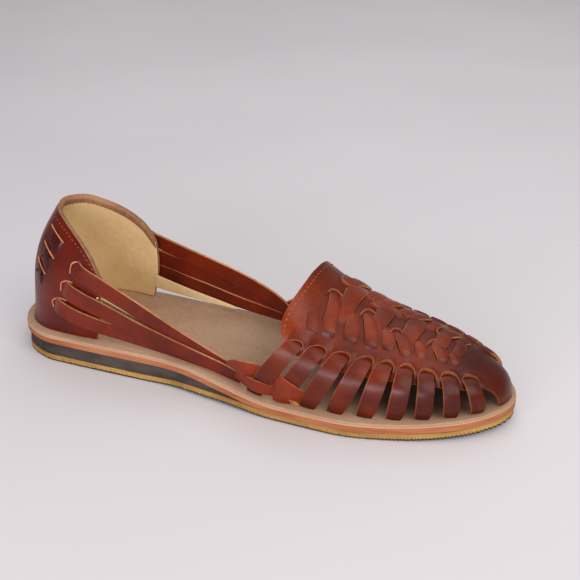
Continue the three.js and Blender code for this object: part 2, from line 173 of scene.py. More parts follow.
LAST_START = 130
LAST_ROWS = (
    # x, ridge, lateral half, medial half, tuck at the footbed, squareness
    (LAST_START, 85, 37.5, 32.6, 1.5, 1.85),
    (145, 75.5, 38.4, 33.4, 1.5, 1.85),
    (161, 65.3, 39, 34.8, 1.4, 1.85),
    (175, 53.6, 39, 36.6, 1.2, 1.95),
    (188, 46, 38.4, 37.6, 1, 2),
    (201, 40.8, 36.6, 37.2, 0.8, 2.05),
    (214, 37.2, 33.8, 35.2, 0.7, 2.1),
    (226, 33.8, 29.8, 31.4, 0.6, 2.1),
    (237, 30.2, 24.8, 26.2, 0.5, 2.1),
    (247, 26, 18.4, 19.4, 0.4, 2.1),
    (254, 21, 11.6, 12.2, 0.3, 2.1),
)
LAST_CENTRE = 0.28
SHOULDER = 0.8


def toe_root(x):
    return math.sqrt(max(TOE - x, 0) / (TOE - LAST_START))


last = Table(
    ("rise", "lateral", "medial", "tuck", "square"),
    [(0, 0, 0, 0, 0, 2.1)]
    + [
        (toe_root(x), ridge - footbed_top(x), *rest) for x, ridge, *rest in reversed(LAST_ROWS)
    ],
)


def last_point(x, t):
    """t is -1 at the lateral foot of the vamp, 0 on its ridge and 1 at the medial foot."""
    side = -1 if t < 0 else 1
    root = toe_root(x)
    half = last("lateral" if t < 0 else "medial", root)
    floor = footbed_top(x) + GAP
    rise = last("rise", root)
    centre = LAST_CENTRE * rise
    share = abs(t)
    if share <= SHOULDER:
        angle = share / SHOULDER * math.pi / 2
        power = 2 / last("square", root)
        return Vector(
            (
                x,
                side * half * math.sin(angle) ** power,
                floor + centre + (rise - centre) * max(math.cos(angle), 0) ** power,
            )
        )
    down = (share - SHOULDER) / (1 - SHOULDER)
    tuck = last("tuck", root) * (1 - math.cos(down * math.pi / 2))
    return Vector((x, side * (half - tuck), floor + centre * (1 - down)))


# ---------------------------------------------------------------- the heel counter

COUNTER_ROWS = (
    # u, foot x, foot y, collar x, collar y, collar height, bow
    (0, 4.2, 0, 25, 0, 77.2, 6.2),
    (0.2, 7.2, 13.4, 29.7, 11.4, 75.8, 6),
    (0.4, 15.8, 23.8, 38.6, 17.8, 71.5, 4.8),
    (0.6, 28.6, 28.4, 48.4, 22.6, 65.3, 3),
    (0.8, 42.6, 29, 56.5, 25.7, 57.2, 1.8),
    (1, 56.6, 28.2, 61.2, 27.1, 48.5, 0.8),
)
COUNTER_FULLEST = 1.35
COUNTER_BULGE = 1.4
COUNTER_MIDDLE = 46
COUNTER_SPREAD = 1.6
# The mirrored row before the first, which keeps the counter round across the back.
ACROSS_THE_BACK = (-0.2, 7.2, -13.4, 29.7, -11.4, 75.8, 6)
counter = Table(
    ("foot_x", "foot_y", "top_x", "top_y", "top_z", "bow"), (ACROSS_THE_BACK, *COUNTER_ROWS)
)


def counter_point(u, v):
    """u is -1 at the lateral front edge, 0 at the back, 1 at the medial front edge; v goes up."""
    side = -1 if u < 0 else 1
    across = min(abs(u), 1)
    foot_x, foot_y, top_x, top_y, top_z, bow = (
        counter(name, across) for name in ("foot_x", "foot_y", "top_x", "top_y", "top_z", "bow")
    )
    x = foot_x + (top_x - foot_x) * v
    y = foot_y + (top_y - foot_y) * v
    away = Vector((x - COUNTER_MIDDLE, COUNTER_SPREAD * y)).normalized()
    push = bow * math.sin(math.pi * min(max(v, 0), 1) ** COUNTER_FULLEST)
    x += away.x * push + COUNTER_BULGE * math.sin(math.pi * v) * across**6
    y += away.y * push
    base = footbed_top(foot_x) + GAP
    return Vector((x, side * max(y, 0), base + (top_z - base) * v))


class Skin:
    """A curved face read by two shares, with its outward direction and steps along it."""

    def __init__(self, point, steps, middle, limits):
        self.point = point
        self.steps = steps
        self.middle = middle
        self.limits = limits

    def slopes(self, a, b):
        (step_a, step_b), ((low_a, high_a), (low_b, high_b)) = self.steps, self.limits
        a = min(max(a, low_a), high_a)
        b = min(max(b, low_b), high_b)
        return (
            (self.point(a + step_a, b) - self.point(a - step_a, b)) / (2 * step_a),
            (self.point(a, b + step_b) - self.point(a, b - step_b)) / (2 * step_b),
        )

    def normal(self, a, b):
        along_a, along_b = self.slopes(a, b)
        direction = along_a.cross(along_b).normalized()
        return direction if direction.dot(self.point(a, b) - self.middle(a)) > 0 else -direction

    def at(self, a, b, rise=0):
        return self.point(a, b) + self.normal(a, b) * rise

    def beside(self, a, b, shift):
        """The shares of the place that lies the vector shift away along the skin."""
        along_a, along_b = self.slopes(a, b)
        aa, ab, bb = along_a.dot(along_a), along_a.dot(along_b), along_b.dot(along_b)
        on_a, on_b = along_a.dot(shift), along_b.dot(shift)
        spread = aa * bb - ab * ab
        return a + (on_a * bb - on_b * ab) / spread, b + (on_b * aa - on_a * ab) / spread


def last_middle(x):
    inner = min(x, TOE - 20)
    return Vector((inner, 0, footbed_top(inner) + 1))


LAST_SKIN = Skin(last_point, (0.25, 0.004), last_middle, ((131, TOE - 0.8), (-0.99, 0.99)))
COUNTER_SKIN = Skin(
    counter_point, (0.004, 0.004), lambda u: Vector((60, 0, 40)), ((-0.99, 0.99), (0.01, 0.985))
)


# ---------------------------------------------------------------- shader maths


class Wire:
    """An output socket that can be added or multiplied; each step adds its Math node."""

    def __init__(self, graph, socket):
        self.graph = graph
        self.socket = socket

    def step(self, operation, other):
        return self.graph.node("Math", {"operation": operation}, {0: self, 1: other})

    def __add__(self, other):
        return self.step("ADD", other)

    def __rmul__(self, other):
        return self.step("MULTIPLY", other)


class Graph:
    """One material's nodes, ending in its Principled shader."""

    def __init__(self, name, **constants):
        self.material = bpy.data.materials.new(name)
        self.material.use_nodes = True
        self.tree = self.material.node_tree
        self.shader = self.tree.nodes["Principled BSDF"]
        self.place = self.node("TexCoord", output="Object")
        self.feed(self.shader, constants)

    def feed(self, node, sockets):
        """Links or sets each socket, by its number or by its name with _ for a space."""
        for name, value in sockets.items():
            socket = node.inputs[name.replace("_", " ") if isinstance(name, str) else name]
            if isinstance(value, Wire):
                self.tree.links.new(value.socket, socket)
            else:
                socket.default_value = value

    def node(self, kind, settings=None, sockets=None, output=0):
        made = self.tree.nodes.new("ShaderNode" + kind)
        for name, value in (settings or {}).items():
            setattr(made, name, value)
        self.feed(made, sockets or {})
        return Wire(self, made.outputs[output])

    def noise(self, scale, detail=3, roughness=0.5, stretch=(1, 1, 1)):
        spread = self.node("Mapping", {}, {"Vector": self.place, "Scale": stretch})
        return self.node(
            "TexNoise",
            {},
            {"Vector": spread, "Scale": scale, "Detail": detail, "Roughness": roughness},
        )

    def between(self, value, low, high, from_value=0.0, to_value=1.0):
        """Maps a value's range low to high onto another, held at its ends."""
        return self.node(
            "MapRange",
            {"interpolation_type": "SMOOTHSTEP"},
            {
                "Value": value,
                "From Min": low,
                "From Max": high,
                "To Min": from_value,
                "To Max": to_value,
            },
        )

    def blend(self, share, first, second):
        """Two colours mixed; the numbers are the Mix node's colour sockets."""
        return self.node(
            "Mix", {"data_type": "RGBA"}, {0: share, 6: first, 7: second}, output=2
        )

    def bump(self, height, depth_mm, strength):
        return self.node(
            "Bump", {}, {"Height": height, "Distance": depth_mm * 0.001, "Strength": strength}
        )


LEVEL = "level"  # a slab's own attribute: 0 at its underside and 1 at its top
BURNISH_AND_SHADE = "burnish"  # a leather piece's own attribute: 1 where it is darkest, from burnishing and painted shade

# The footbed's painted shade in its middle under the vamp: an oval, by its half length, half width
# and centre, in the frame's metres.
VAMP_SHADE_LONG = 0.046
VAMP_SHADE_WIDE = 0.031
VAMP_SHADE_CENTRE = 0.08
VAMP_SHADE_SCALE = (1 / VAMP_SHADE_LONG, 1 / VAMP_SHADE_WIDE, 0)
VAMP_SHADE_SHIFT = (-VAMP_SHADE_CENTRE / VAMP_SHADE_LONG, 0, 0)


def colour(red, green, blue):
    """A display colour, 0 to 255, as the shader's linear light."""
    return (*[(value / 255) ** 2.2 for value in (red, green, blue)], 1.0)


def leather(name, light, dark, burnt):
    """Oiled smooth leather: mottled colour, burnishing, painted shade, fine pores and soft creases.
    """
    graph = Graph(name, Coat_Weight=0.06, Coat_Roughness=0.2, Specular_IOR_Level=0.24)
    mottle = graph.noise(42, detail=4, roughness=0.62)
    cloud = graph.noise(14, detail=2)
    fine = graph.noise(700, detail=2)
    tone = graph.blend(graph.between(mottle, 0.36, 0.66), light, dark)
    tone = graph.blend(graph.between(cloud, 0.5, 0.74, 0, 0.75), tone, burnt)
    tone = graph.blend(graph.between(fine, 0.45, 0.75, 0, 0.22), tone, burnt)
    # The piece's attribute darkens it: burnishing at the toe and by the throat, painted shade at the
    # sunk ends of strips, round the slots and under the weave.
    burnish = graph.node("Attribute", {"attribute_name": BURNISH_AND_SHADE}, output="Fac")
    tone = graph.blend(0.85 * burnish, tone, burnt)
    pores = graph.node(
        "TexVoronoi", {"feature": "DISTANCE_TO_EDGE"}, {"Vector": graph.place, "Scale": 900}
    )
    creases = graph.noise(260, detail=3, roughness=0.6)
    grain = graph.between(pores, 0, 0.18, -0.4, 0) + creases
    graph.feed(
        graph.shader,
        {
            "Base Color": tone,
            "Roughness": graph.between(mottle, 0.3, 0.7, 0.27, 0.4),
            "Normal": graph.bump(grain, 0.06, 0.4),
        },
    )
    return graph.material


def suede(name, light, dark, scale=300, depth=0.25, worn=None):
    """A matt fibrous face: raw leather, lining or board.

    A last colour, if given, is painted shade on the footbed's middle under the vamp.
    """
    graph = Graph(name, Specular_IOR_Level=0.25)
    fibre = graph.noise(scale, detail=4, roughness=0.65)
    cloud = graph.noise(28, detail=3)
    share = 0.45 * fibre + 0.75 * cloud
    tone = graph.blend(graph.between(share, 0.4, 0.8), light, dark)
    if worn:
        # Painted shade: the footbed darkens towards the middle of an oval under the vamp.
        spread = graph.node(
            "Mapping",
            {},
            {"Vector": graph.place, "Location": VAMP_SHADE_SHIFT, "Scale": VAMP_SHADE_SCALE},
        )
        away = graph.node("VectorMath", {"operation": "LENGTH"}, {0: spread}, output="Value")
        tone = graph.blend(graph.between(away, 0.6, 1.1, 0.85, 0), tone, worn)
    graph.feed(
        graph.shader,
        {
            "Base Color": tone,
            "Roughness": graph.between(fibre, 0.3, 0.7, 0.72, 0.9),
            "Normal": graph.bump(fibre, depth, 0.5),
        },
    )
    return graph.material


def layered(name, light, dark, stripe, depth=0.3, roughness=0.7, crust=None, under=None):
    """A cut edge of board, foam or rubber, with fine lines that run level with the floor.

    A crust is the paler top of the layer and an under its darker lower edge; both are read from
    the slab's level attribute.
    """
    graph = Graph(name, Specular_IOR_Level=0.3)
    lines = graph.noise(60, detail=4, roughness=0.6, stretch=(1, 1, stripe))
    cloud = graph.noise(20, detail=3)
    speck = graph.noise(900, detail=2)
    tone = graph.blend(graph.between(0.6 * lines + 0.5 * cloud, 0.38, 0.74), light, dark)
    tone = graph.blend(graph.between(speck, 0.55, 0.8, 0, 0.35), tone, dark)
    level = graph.node("Attribute", {"attribute_name": LEVEL}, output="Fac")
    wavy = level + 0.3 * cloud
    if crust:
        tone = graph.blend(graph.between(wavy, 0.92, 1.08), tone, crust)
    if under:
        tone = graph.blend(graph.between(wavy, 0.28, 0.42), under, tone)
    graph.feed(
        graph.shader,
        {
            "Base Color": tone,
            "Roughness": graph.between(speck, 0.3, 0.7, roughness, roughness + 0.15),
            "Normal": graph.bump(lines + 0.4 * speck, depth, 0.5),
        },
    )
    return graph.material


COGNAC = leather("Cognac_leather", colour(134, 51, 18), colour(104, 36, 13), colour(54, 17, 11))
BRAID_LEATHER = leather(
    "Braid_leather", colour(170, 66, 26), colour(142, 50, 18), colour(86, 26, 14)
)
STRAP_LEATHER = leather(
    "Strap_leather", colour(114, 38, 17), colour(90, 28, 13), colour(48, 15, 11)
)
HEEL_LEATHER = leather("Heel_leather", colour(104, 29, 10), colour(82, 21, 9), colour(46, 13, 8))
BAND_LEATHER = leather("Band_leather", colour(74, 19, 11), colour(58, 14, 8), colour(38, 10, 8))
CUT_EDGE = suede("Stained_cut_edge", colour(168, 100, 62), colour(118, 58, 34))
RAW_EDGE = suede("Raw_cut_edge", colour(212, 156, 108), colour(160, 98, 62))
LINING = suede("Pigskin_lining", colour(250, 226, 174), colour(234, 202, 146), 420)
BINDING = suede("Collar_binding", colour(172, 128, 94), colour(126, 88, 60), 500)
FOOTBED = suede(
    "Footbed_cover",
    colour(192, 158, 128),
    colour(172, 136, 108),
    500,
    0.12,
    worn=colour(62, 48, 40),
)
BOARD_EDGE = layered(
    "Board_edge", colour(180, 118, 80), colour(150, 84, 52), 14, crust=colour(196, 156, 122)
)
FOAM = layered("Charcoal_foam", colour(82, 74, 67), colour(52, 46, 43), 5, 0.5, 0.8)
HONEY = layered(
    "Honey_rubber",
    colour(190, 148, 82),
    colour(150, 106, 54),
    6,
    0.3,
    0.6,
    under=colour(46, 34, 24),
)
THREAD = suede("Stitching_thread", colour(180, 108, 66), colour(132, 72, 44), 900, 0.05)
STEEL = Graph(
    "Small_rivet", Base_Color=colour(206, 186, 170), Metallic=0.7, Roughness=0.35
).material


# ---------------------------------------------------------------- making pieces


EDGE_ANGLE = math.radians(42)
END_SHADE_START = 0.12
END_SHADE_END = 0.2


def sheet(bm, columns, rows, place, darkness=None):
    """A grid bent into shape: place(i, j) is the point at a column and a row.

    darkness(i, j) is how dark the leather is painted there, from 0 to 1, by burnishing and by
    painted shade.
    """
    burnish = bm.verts.layers.float.get(BURNISH_AND_SHADE) or bm.verts.layers.float.new(BURNISH_AND_SHADE)
    made = bmesh.ops.create_grid(bm, x_segments=columns, y_segments=rows, size=1)["verts"]
    for vert in made:
        i, j = round((vert.co.x + 1) / 2 * columns), round((vert.co.y + 1) / 2 * rows)
        vert.co = place(i, j)
        vert[burnish] = darkness(i, j) if darkness else 0
    return made


def finish_piece(name, bm, materials, stands_for=(), wall=0.0, edge=0.2, levels=1):
    bmesh.ops.transform(bm, matrix=INTO_FRAME, verts=bm.verts)
    mesh = bpy.data.meshes.new(name)
    bm.to_mesh(mesh)
    bm.free()
    mesh.polygons.foreach_set("use_smooth", [True] * len(mesh.polygons))
    piece = bpy.data.objects.new(name, mesh)
    bpy.context.scene.collection.objects.link(piece)
    for material in materials:
        mesh.materials.append(material)
    if wall:
        solid = piece.modifiers.new("Wall", "SOLIDIFY")
        solid.thickness = wall * 0.001
        solid.offset = -1
        solid.material_offset_rim = len(materials) - 1
    if edge:
        rounding = piece.modifiers.new("Edges", "BEVEL")
        rounding.width = edge * 0.001
        rounding.segments = 2
        rounding.limit_method = "ANGLE"
        rounding.angle_limit = EDGE_ANGLE
    if levels:
        smooth = piece.modifiers.new("Smooth", "SUBSURF")
        smooth.levels = levels
        smooth.render_levels = levels
    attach(piece, "root")
    if stands_for:
        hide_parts(*stands_for)
    return piece


def ribbon(bm, stations, across=6, crown=0.2):
    """A strip through stations of (centre, outward face, width)."""
    centres = [centre for centre, _, _ in stations]

    def place(i, j):
        centre, face, wide = stations[i]
        along = (centres[min(i + 1, len(centres) - 1)] - centres[max(i - 1, 0)]).normalized()
        side = face.cross(along).normalized()
        c = j / across - 0.5
        return centre + side * (wide * c) + face * (crown * (1 - 4 * c * c))

    return sheet(bm, len(stations) - 1, across, place)


def laid_strip(bm, skin, rows, steps=20, across=6, crown=0.3, burnished=1.0):
    """A strip that follows a skin. A row is its share along, two skin shares, width and rise.

    Its ends are darkened with painted shade, where they dive under the plate, the footbed or a slit,
    as much as its last argument says.
    """
    path = Table(("a", "b", "wide", "rise"), rows)
    first, final = rows[0][0], rows[-1][0]
    stations = []
    for i in range(steps + 1):
        share = first + (final - first) * i / steps
        stations.append([path(name, share) for name in ("a", "b", "wide", "rise")])
    centres = [skin.at(a, b, rise) for a, b, _, rise in stations]

    def place(i, j):
        a, b, wide, rise = stations[i]
        along = (centres[min(i + 1, steps)] - centres[max(i - 1, 0)]).normalized()
        side = skin.normal(a, b).cross(along).normalized()
        c = j / across - 0.5
        return skin.at(*skin.beside(a, b, side * (wide * c)), rise + crown * (1 - 4 * c * c))

    # Painted shade: the strip darkens towards its ends, where they dive out of sight.
    def darkness(i, j):
        share = i / steps
        start = 1 - smoothstep(0, END_SHADE_START, share)
        end = 1 - smoothstep(0, END_SHADE_END, 1 - share)
        return burnished * max(start, end)

    return sheet(bm, steps, across, place, darkness)


def slab(name, materials, node, bottom, top, inset=0.0, end=LENGTH, columns=160, rows=10):
    """One layer of the sole between two heights over x, cut to the sole's plan."""
    bm = bmesh.new()
    angle = plan_angle(end)

    def spot(i, j, height):
        x = LENGTH / 2 * (1 - math.cos(angle * i / columns))
        place = inset + x * (1 - 2 * inset / LENGTH)
        lateral, medial = (plan(side, plan_angle(x)) for side in ("lateral", "medial"))
        y = (-lateral + (lateral + medial) * j / rows) * (1 - inset / BALL_HALF)
        return Vector((place, y, height(place)))

    sheet(bm, columns, rows, lambda i, j: spot(i, j, bottom))
    bmesh.ops.remove_doubles(bm, verts=bm.verts, dist=0.01)
    level = bm.verts.layers.float.new(LEVEL)
    raised = bmesh.ops.extrude_face_region(bm, geom=bm.faces[:])["geom"]
    for item in raised:
        if isinstance(item, bmesh.types.BMVert):
            item.co.z = top(item.co.x)
            item[level] = 1
    bmesh.ops.recalc_face_normals(bm, faces=bm.faces)
    return finish_piece(name, bm, materials, (node,), edge=0.35, levels=0)


# ---------------------------------------------------------------- the sole

RIB_PITCH = 1.5
RIB_DEPTH = 0.55


def ribbed_under(x):
    """The tread's underside, with a square rib every RIB_PITCH."""
    groove = RIB_DEPTH if math.sin(2 * math.pi * x / RIB_PITCH) > 0 else 0
    return heights("under", x) + groove


slab("Tread", [HONEY], "outsole", ribbed_under, tread_top, 0.5, columns=1040)
slab(
    "Foam_wedge",
    [FOAM],
    "wedge",
    lambda x: tread_top(x) + 0.02,
    lambda x: board_under(x) - 0.02,
    0.9,
    end=WEDGE_END,
)
slab(
    "Board",
    [BOARD_EDGE],
    "midsole",
    board_under,
    lambda x: footbed_top(x) - COVER - 0.05,
    0.0,
)
slab(
    "Footbed",
    [FOOTBED],
    "footbed",
    lambda x: footbed_top(x) - COVER,
    footbed_top,
    0.25,
)

# ---------------------------------------------------------------- the vamp plate

THROAT = Table(
    ("x",),
    (
        (0, 166),
        (0.15, 165.5),
        (0.27, 164.2),
        (0.37, 162.4),
        (0.45, 160.9),
        (0.52, 160.4),
        (0.57, 161.7),
        (0.6, 163.5),
        (0.66, 165.5),
    ),
)
LOOP_COUNT = 9
THROAT_X = 160.6

# Loops 1 to 9 count from the throat, and 11 is the toe. top and foot are x at a loop's ends, bow
# its bend forward, arch its t at the top, and neck and wide its widths there and below.
loops = Table(
    ("top", "foot", "bow", "arch", "neck", "wide"),
    (
        (0.1, THROAT_X, 137, 0.8, 0.56, 7.4, 8.6),
        (1, 169.3, 147.5, 1, 0.537, 7.4, 8.6),
        (2, 179.3, 161, 1.1, 0.482, 7.4, 8.5),
        (3, 189.3, 174.2, 1.1, 0.444, 7.4, 8.4),
        (4, 199.2, 187.3, 1.1, 0.402, 7.3, 8.3),
        (5, 207.3, 200.8, 1.2, 0.382, 7.2, 8.2),
        (6, 215.6, 213.6, 1.6, 0.367, 7, 7.8),
        (7, 223.9, 225.4, 1.9, 0.363, 6.8, 7.4),
        (8, 232.7, 236.8, 2.1, 0.332, 6.6, 7.1),
        (9, 240.8, 247.4, 2.2, 0.292, 6.2, 6.8),
        (10, 250, 252, 1, 0.27, 6, 6),
        (11, TOE - 0.01, TOE - 0.01, 0, 0.27, 6, 6),
    ),
)
# Where the plate ends, down its side, by loop number: past the last loop it opens beside the toe
# cap, and the cap runs down to the footbed.
plate_edge = Table(
    ("t",),
    (
        (0.1, 0.655),
        (1, 0.64),
        (2, 0.62),
        (3, 0.603),
        (4, 0.583),
        (5, 0.562),
        (6, 0.548),
        (7, 0.538),
        (8, 0.53),
        (9, 0.503),
        (9.55, 0.434),
        (9.85, 0.44),
        (10.15, 0.49),
        (10.4, 0.66),
        (10.5, 0.96),
        (10.6, 1),
        (11, 1),
    ),
)
PLATE_RISE = -1.0
PLATE_WALL = 1.6
LIP_RISE = 0.9
MARGIN_SINK = 0.8
SLOT_HALF = 0.4
ARCH_HALF = 0.42
LIP_SPREAD = (0.3, 0.5)
LOOPS_END = 9.5
CAP_RISE = 0.8
ACROSS_A_LOOP = (-0.5, -0.4, -0.27, -0.13, 0, 0.13, 0.27, 0.4)
PLATE_COLUMNS = (
    (0.1, 0.2, 0.35)
    + tuple(n + d for n in range(1, LOOP_COUNT + 1) for d in ACROSS_A_LOOP)
    + (9.5, 9.7, 9.9, 10.1, 10.25, 10.35, 10.42, 10.5, 10.6, 10.7, 10.8, 10.88, 10.94, 10.98, 11)
)
UPPER_ROWS = 12
LOWER_ROWS = (0.18, 0.36, 0.55, 0.78, 1)
SLOT_ROWS = 3


def plate_place(k, row):
    """Skin shares and rise of a plate vertex; rows count from the ridge to the lower edge."""
    n = min(max(round(k), 1), LOOP_COUNT)
    off = abs(k - n)
    looped = k < LOOPS_END
    arch, edge = loops("arch", k), plate_edge("t", k)
    drop = 0.0
    if looped and off < ARCH_HALF:
        drop = ARCH_HALF * (1 - math.sqrt(1 - (off / ARCH_HALF) ** 2))
    if row <= UPPER_ROWS:
        start = arch + (edge - arch) * drop
        t = start * row / UPPER_ROWS
    else:
        t = arch + (edge - arch) * (drop + (1 - drop) * LOWER_ROWS[row - UPPER_ROWS - 1])
    share = (loops("top", k) - THROAT_X) / (TOE - THROAT_X)
    f = max(t - arch, 0) / (1 - arch)
    lean = smoothstep(0.1, 1, k)
    rear = THROAT("x", min(t, arch))
    x = rear + (TOE - rear) * share
    x += lean * ((loops("foot", k) - loops("top", k)) * f + loops("bow", k) * 4 * f * (1 - f))
    x += (1 - lean) * (THROAT("x", t) - rear)
    rise = PLATE_RISE
    if looped and k > 0.45:
        near = 1 - smoothstep(*LIP_SPREAD, off)
        if row in (UPPER_ROWS, UPPER_ROWS - 1):
            rise += LIP_RISE * near * (1 if row == UPPER_ROWS else 0.6)
        elif row > UPPER_ROWS + SLOT_ROWS - 1:
            rise -= MARGIN_SINK * near
    rise += CAP_RISE * smoothstep(LOOPS_END, 10.6, k)
    return min(x, TOE - 0.01), t, rise


def plate_darkness(k, t, row):
    """Painted shade round the slots and under the weave; burnishing at the toe and on the ridge by
    the throat.
    """
    off = abs(k - min(max(round(k), 1), LOOP_COUNT))
    beside = row >= UPPER_ROWS - 1 and k < LOOPS_END
    # Painted shade round the slots and under the weave; the toe and the ridge are darker from
    # burnishing.
    by_slot = 0.3 * (1 - smoothstep(*LIP_SPREAD, off)) if beside else 0
    weave = 0.45 if 1 < k < 9.3 and t < 0.75 * loops("arch", k) else 0
    toe = 0.3 * smoothstep(9.9, 11, k)
    ridge = 0.4 * (1 - smoothstep(0, 0.25, t)) * (1 - smoothstep(1, 2, k))
    return max(by_slot, weave, toe, ridge)


def vamp_plate():
    """The plate over the top of the last, with a slot cut for each loop."""
    bm = bmesh.new()
    burnish = bm.verts.layers.float.new(BURNISH_AND_SHADE)
    half = UPPER_ROWS + len(LOWER_ROWS)
    columns, rows = len(PLATE_COLUMNS) - 1, 2 * half
    made = bmesh.ops.create_grid(bm, x_segments=columns, y_segments=rows, size=1)["verts"]
    slots = []
    for face in bm.faces:
        centre = face.calc_center_median()
        i, j = (centre.x + 1) / 2 * columns, (centre.y + 1) / 2 * rows
        k = (PLATE_COLUMNS[int(i)] + PLATE_COLUMNS[int(i) + 1]) / 2
        below = abs(j - half) - UPPER_ROWS
        looped = 0.5 < k < LOOPS_END
        if 0 < below < SLOT_ROWS and looped and abs(k - round(k)) < SLOT_HALF:
            slots.append(face)
    for vert in made:
        i, j = round((vert.co.x + 1) / 2 * columns), round((vert.co.y + 1) / 2 * rows)
        x, t, rise = plate_place(PLATE_COLUMNS[i], abs(j - half))
        vert.co = LAST_SKIN.at(x, t if j >= half else -t, rise)
        vert[burnish] = plate_darkness(PLATE_COLUMNS[i], t, abs(j - half))
    bmesh.ops.delete(bm, geom=slots, context="FACES")
    finish_piece("Vamp_plate", bm, [COGNAC, CUT_EDGE], ("vamp",), PLATE_WALL, 0.3)


vamp_plate()

# ---------------------------------------------------------------- loops and woven leaves

# A loop's share along and its rise over the last: up out of its slot, over, and down to its foot.
LOOP_RISE = (
    (-0.08, -2.6),
    (0, -2.0),
    (0.1, -0.4),
    (0.2, 0.5),
    (0.4, 0.9),
    (0.7, 0.6),
    (1, -0.2),
    (1.06, -1.5),
)
LOOP_WALL = 1.5
LOOP_ROUNDING = 0.3


def loop_rows(k, side):
    """A loop's middle line as rows of share, x, t, width and rise."""
    top, foot, bow, arch, neck, wide = (
        loops(column, k) for column in ("top", "foot", "bow", "arch", "neck", "wide")
    )
    rows = []
    for f, rise in LOOP_RISE:
        x = top + (foot - top) * f + bow * 4 * f * (1 - f)
        width = neck + (wide - neck) * smoothstep(0, 0.5, f)
        width *= 1 - LOOP_ROUNDING * smoothstep(0.92, 1.06, f)
        rows.append((f, x, side * (arch + (1 - arch) * f), width, rise))
    return rows


def side_loops(name, side):
    bm = bmesh.new()
    for k in range(1, LOOP_COUNT + 1):
        laid_strip(bm, LAST_SKIN, loop_rows(k, side), steps=26, crown=0.25)
    finish_piece("Loops_" + name, bm, [COGNAC, RAW_EDGE], (), LOOP_WALL, 0.3)


for side_name, hand in SIDES:
    side_loops(side_name, hand)

# Leaves of the weave, as rows of share along, x, t, width and rise. Each has a twin on the other
# side.
SIDE_LEAVES = (
    ((0, 176.6, 0.03, 5.6, -2.2), (0.12, 177.2, 0.085, 6.2, -0.6), (0.3, 178.4, 0.16, 6.4, 0.5),
     (0.6, 179.6, 0.27, 6.4, 0.6), (0.85, 180.6, 0.36, 6.4, 0.3), (1, 181, 0.42, 5.4, -1.8)),
    ((0, 172.4, 0.27, 5, -2.2), (0.4, 173, 0.34, 6.5, -0.9), (0.8, 173.8, 0.42, 6.4, -0.7),
     (1, 174.2, 0.47, 5, -2)),
    ((0, 186.6, 0.08, 5, -2), (0.2, 187.6, 0.15, 6.4, -0.4), (0.55, 189, 0.25, 6.8, 0.2),
     (0.85, 190.2, 0.33, 6.4, 0), (1, 190.8, 0.385, 5, -1.8)),
    ((0, 191.2, 0.005, 5, -2.2), (0.15, 192.3, 0.06, 5.6, -0.6), (0.4, 195, 0.15, 5.8, 0.5),
     (0.7, 197.6, 0.24, 5.9, 0.5), (0.88, 199, 0.3, 5.8, 0.1), (1, 199.8, 0.345, 5, -1.8)),
    ((0, 201.8, 0.05, 4.6, -2), (0.2, 203, 0.11, 5.8, -0.5), (0.55, 204.8, 0.19, 6.2, 0.1),
     (0.85, 206, 0.26, 5.8, -0.1), (1, 206.6, 0.315, 4.6, -1.8)),
    ((0, 205.6, 0.04, 4.4, -2.2), (0.15, 207, 0.1, 5, -0.5), (0.45, 210.6, 0.17, 5.4, 0.5),
     (0.75, 213.2, 0.24, 5.4, 0.4), (1, 215, 0.32, 4.4, -1.8)),
    ((0, 216.6, 0.06, 4, -2), (0.25, 217.8, 0.12, 5, -0.4), (0.6, 219.2, 0.19, 5.4, 0.1),
     (1, 220.6, 0.285, 4, -1.8)),
    ((0, 222.6, 0.005, 4, -2), (0.2, 224.4, 0.06, 5, -0.4), (0.5, 226.8, 0.13, 5.6, 0.4),
     (0.8, 229, 0.2, 5.2, 0.2), (1, 230.2, 0.26, 4, -1.8)),
    ((0, 231, 0.05, 3.6, -2), (0.3, 232.6, 0.1, 4.6, -0.3), (0.7, 234.2, 0.17, 4.6, 0),
     (1, 235.2, 0.23, 3.6, -1.6)),
)
# Leaves that cross the ridge: x at the ends, x on the ridge, reach in t to each side, and width and
# rise on the ridge.
CROSSING_LEAVES = (
    (183.2, 182.8, 0.3, 8.6, 0.9),
    (197.4, 198.1, 0.24, 8, 0.8),
    (211.6, 212.6, 0.22, 7.6, 0.7),
    (225, 225.6, 0.18, 6.8, 0.6),
    (233.2, 233.8, 0.15, 5.4, 0.3),
)
LEAF_WALL = 1.4


def woven_leaves():
    bm = bmesh.new()
    for rows in SIDE_LEAVES:
        for hand in (-1, 1):
            turned = [(s, x, hand * t, wide, rise) for s, x, t, wide, rise in rows]
            laid_strip(bm, LAST_SKIN, turned, crown=0.35)
    for end_x, ridge_x, reach, wide, rise in CROSSING_LEAVES:
        rows = [
            (-1, end_x, -reach, 0.62 * wide, -2),
            (-0.62, (end_x + ridge_x) / 2, -0.62 * reach, 0.88 * wide, -0.3),
            (0, ridge_x, 0, wide, rise),
            (0.62, (end_x + ridge_x) / 2, 0.62 * reach, 0.88 * wide, -0.3),
            (1, end_x, reach, 0.62 * wide, -2),
        ]
        laid_strip(bm, LAST_SKIN, rows, steps=28, crown=0.35)
    finish_piece("Woven_leaves", bm, [COGNAC, RAW_EDGE], (), LEAF_WALL, 0.3)


woven_leaves()

